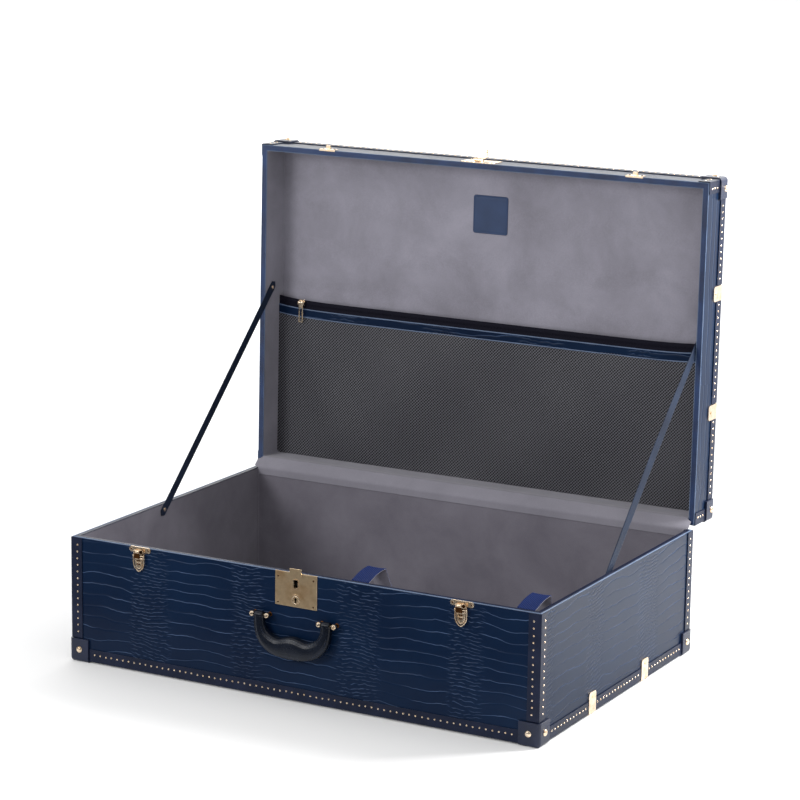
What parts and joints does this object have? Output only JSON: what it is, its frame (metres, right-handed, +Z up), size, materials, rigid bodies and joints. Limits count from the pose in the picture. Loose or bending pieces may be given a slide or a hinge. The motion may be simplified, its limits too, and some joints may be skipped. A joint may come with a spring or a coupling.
{
  "type": "leather travel trunk",
  "caption": "Rectangular leather-covered travel trunk with a hinged lid, draw latches, hasp lock, corner caps, a padded carrying handle and a zipped net pocket in the lid.",
  "frame": {"origin": "middle of the footprint of the base box, on the floor under the corner caps", "axes": "+X along the width to the right of someone facing the front, -Y towards the front with the lock and handle, +Z up; the lid stands open at the back"},
  "size_m": [0.8108, 0.6412, 0.7591],
  "materials": {
    "plywood": "satin",
    "embossed_leather": "glossy embossed",
    "trim_leather": "matte",
    "cap_leather": "satin",
    "rim_leather": "satin",
    "grip_leather": "satin",
    "stay_leather": "satin",
    "label_leather": "satin",
    "suede_lining": "matte",
    "brass": "polished",
    "steel_pins": "satin",
    "webbing": "matte",
    "net": "matte",
    "zip_tape": "matte"
  },
  "bodies": {
    "trunk_base": {"base_front_board": "plywood", "base_back_board": "plywood", "base_left_board": "plywood", "base_right_board": "plywood", "base_bottom_board": "plywood", "base_leather_cover": "embossed_leather", "base_lining": "suede_lining", "base_rim_binding": "rim_leather", "base_corner_trims": "trim_leather", "base_bottom_trims": "trim_leather", "base_corner_caps": "cap_leather", "base_cap_studs": "brass", "base_side_clips": "brass", "hinge_base_leaves": "brass", "hinge_pins": "steel_pins", "lock_plate": "brass", "lock_case": "brass", "left_latch_plate": "brass", "right_latch_plate": "brass", "handle_left_mount": "brass", "handle_right_mount": "brass", "webbing_strap_centre": "webbing", "webbing_strap_right": "webbing", "base_stay_screws": "brass", "left_stay_strap": "stay_leather", "right_stay_strap": "stay_leather", "hinge_cover": "suede_lining"},
    "trunk_lid": {"lid_top_board": "plywood", "lid_front_board": "plywood", "lid_back_board": "plywood", "lid_left_board": "plywood", "lid_right_board": "plywood", "lid_leather_cover": "embossed_leather", "lid_lining": "suede_lining", "lid_rim_binding": "rim_leather", "lid_edge_trims": "trim_leather", "lid_corner_caps": "cap_leather", "lid_cap_studs": "brass", "lid_side_clips": "brass", "hinge_lid_leaves": "brass", "hasp_plate": "brass", "left_latch_catch": "brass", "right_latch_catch": "brass", "lid_stay_screws": "brass", "label_patch": "label_leather", "pocket_mesh": "net", "pocket_band": "embossed_leather", "pocket_zip": "zip_tape"},
    "lock_bolt": {"lock_bolt": "brass"},
    "left_latch_lever": {"left_latch_lever": "brass"},
    "right_latch_lever": {"right_latch_lever": "brass"},
    "left_latch_loop": {"left_latch_loop": "brass"},
    "right_latch_loop": {"right_latch_loop": "brass"},
    "handle_grip": {"handle_grip": "grip_leather"},
    "hasp": {"hasp": "brass"},
    "zip_slider": {"zip_slider": "brass"},
    "zip_pull": {"zip_pull": "brass"}
  },
  "joints": [
    {"name": "lid_hinge", "type": "hinge", "parent": "trunk_base", "child": "trunk_lid", "pos_m": [0, 0.273, 0.1994], "axis": [1, 0, 0], "range_deg": [0, 91], "deforming": ["left_stay_strap", "right_stay_strap", "hinge_cover"]},
    {"name": "left_latch_lever_hinge", "type": "hinge", "parent": "trunk_base", "child": "left_latch_lever", "pos_m": [-0.274, -0.2728, 0.1914], "axis": [1, 0, 0], "range_deg": [-105, 0]},
    {"name": "right_latch_lever_hinge", "type": "hinge", "parent": "trunk_base", "child": "right_latch_lever", "pos_m": [0.274, -0.2728, 0.1914], "axis": [1, 0, 0], "range_deg": [-105, 0]},
    {"name": "left_latch_loop_hinge", "type": "hinge", "parent": "left_latch_lever", "child": "left_latch_loop", "pos_m": [-0.274, -0.2728, 0.1854], "axis": [-1, 0, 0], "range_deg": [0, 180]},
    {"name": "right_latch_loop_hinge", "type": "hinge", "parent": "right_latch_lever", "child": "right_latch_loop", "pos_m": [0.274, -0.2728, 0.1854], "axis": [-1, 0, 0], "range_deg": [0, 180]},
    {"name": "hasp_hinge", "type": "hinge", "parent": "trunk_lid", "child": "hasp", "pos_m": [0, 0.29152, 0.74496], "axis": [1, 0, 0], "range_deg": [0, 172]},
    {"name": "lock_bolt_slide", "type": "slide", "parent": "trunk_base", "child": "lock_bolt", "axis": [-1, 0, 0], "range_m": [0, 0.008]},
    {"name": "handle_swing", "type": "hinge", "parent": "trunk_base", "child": "handle_grip", "pos_m": [0, -0.2784, 0.1289], "axis": [-1, 0, 0], "range_deg": [0, 100]},
    {"name": "zip_slide", "type": "slide", "parent": "trunk_lid", "child": "zip_slider", "axis": [1, 0, 0], "range_m": [0, 0.66]},
    {"name": "zip_pull_hinge", "type": "hinge", "parent": "zip_slider", "child": "zip_pull", "pos_m": [-0.343, 0.31963, 0.47563], "axis": [-1, 0, 0], "range_deg": [0, 120]}
  ]
}
